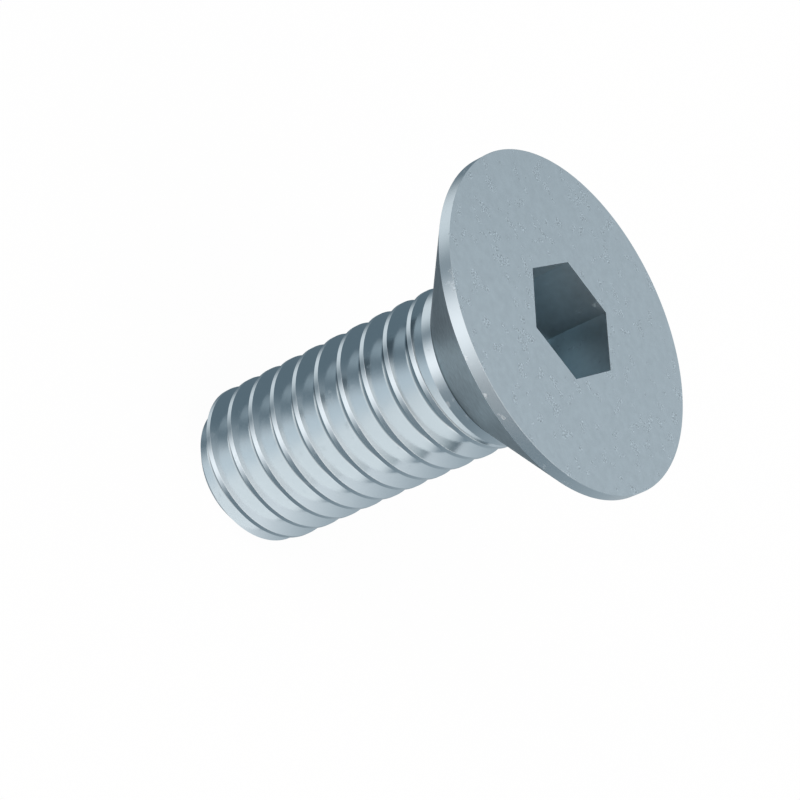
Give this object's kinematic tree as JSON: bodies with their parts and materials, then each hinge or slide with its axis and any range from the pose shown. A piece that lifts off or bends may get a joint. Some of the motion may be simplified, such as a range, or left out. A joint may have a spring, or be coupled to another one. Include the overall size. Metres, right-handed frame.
{
  "type": "countersunk socket screw",
  "caption": "Short zinc plated countersunk machine screw with a flat head, a hexagon socket and a metric thread up to the cone.",
  "frame": {"origin": "middle of the flat end of the thread, on which the screw stands", "axes": "+Z along the screw's axis from the thread's end up to the head's face; two corners of the hexagon socket point along +Y and -Y"},
  "size_m": [0.008, 0.008, 0.01],
  "materials": {
    "zinc_plated_steel": "smooth zinc plating with a cool blue tint, fine speckle on the face and faint turning lines on the cone"
  },
  "bodies": {
    "root": {"screw": "zinc_plated_steel"}
  },
  "joints": []
}
